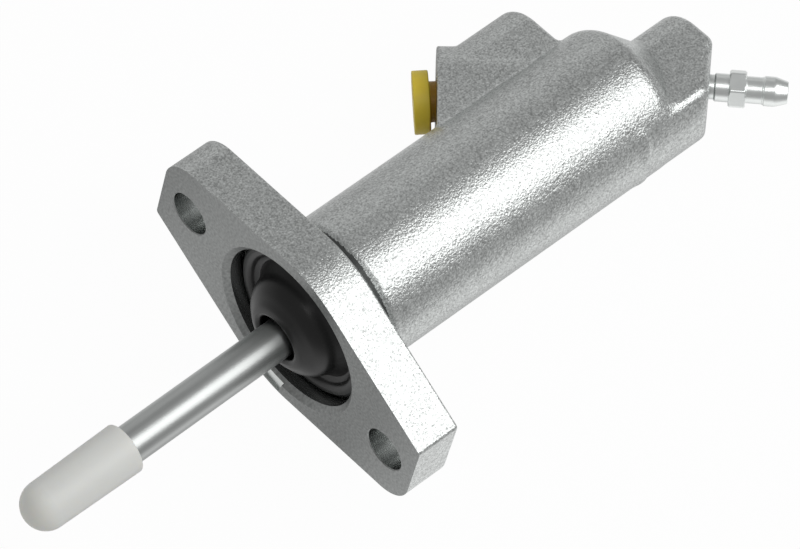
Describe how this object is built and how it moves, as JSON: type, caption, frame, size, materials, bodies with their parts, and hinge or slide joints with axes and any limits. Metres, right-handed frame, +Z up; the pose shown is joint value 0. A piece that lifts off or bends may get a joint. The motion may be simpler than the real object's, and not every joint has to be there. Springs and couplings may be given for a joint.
{
  "type": "clutch slave cylinder",
  "caption": "Hydraulic clutch slave cylinder: cast housing with a two-bolt oval flange, push rod with nylon tip, rubber boot, bleed screw and yellow port plug.",
  "frame": {"origin": "bore axis in the plane of the flange's machined front face", "axes": "+X along the bore out of the mouth and along the push rod, +Y along the line of the bolt holes towards the bleed screw's side, +Z up"},
  "size_m": [0.1815, 0.0762, 0.044],
  "materials": {
    "cast_aluminium": "fine cast and shot-blasted skin with machined faces",
    "machined_aluminium": "smooth turned",
    "spring_steel": "dark oiled",
    "zinc_steel": "bright zinc plated",
    "inner_nylon": "plain moulded",
    "milky_nylon": "milky, slightly translucent moulding",
    "yellow_plastic": "soft plain moulding",
    "rubber": "smooth black moulding"
  },
  "bodies": {
    "housing": {"housing": "cast_aluminium", "snap_ring": "spring_steel", "dust_boot": "rubber", "return_spring": "spring_steel"},
    "piston": {"piston": "machined_aluminium", "guide_ring": "inner_nylon", "cup_seal": "rubber", "seal_spreader": "inner_nylon"},
    "push_rod": {"push_rod": "zinc_steel", "rod_tip": "milky_nylon"},
    "bleed_screw": {"bleed_screw": "zinc_steel"},
    "port_plug": {"port_plug": "yellow_plastic"}
  },
  "joints": [
    {"name": "piston_stroke", "type": "slide", "parent": "housing", "child": "piston", "axis": [1, 0, 0], "range_m": [-0.02, 0], "stiffness_N_per_m": 1000, "springref_m": 0.02, "deforming": ["return_spring"]},
    {"name": "rod_swivel", "type": "hinge", "parent": "piston", "child": "push_rod", "pos_m": [-0.0225, 0, 0], "axis": [0, 0.9397, 0.342], "range_deg": [-2.2, 0.1]},
    {"name": "bleed_screw_turn", "type": "hinge", "parent": "housing", "child": "bleed_screw", "pos_m": [-0.10373, 0.0089, 0.00289], "axis": [-0.682, 0.6956, 0.226], "range_deg": [0, 360]},
    {"name": "port_plug_pull", "type": "slide", "parent": "housing", "child": "port_plug", "axis": [0.7431, -0.6364, -0.2068], "range_m": [0, 0.015]}
  ]
}
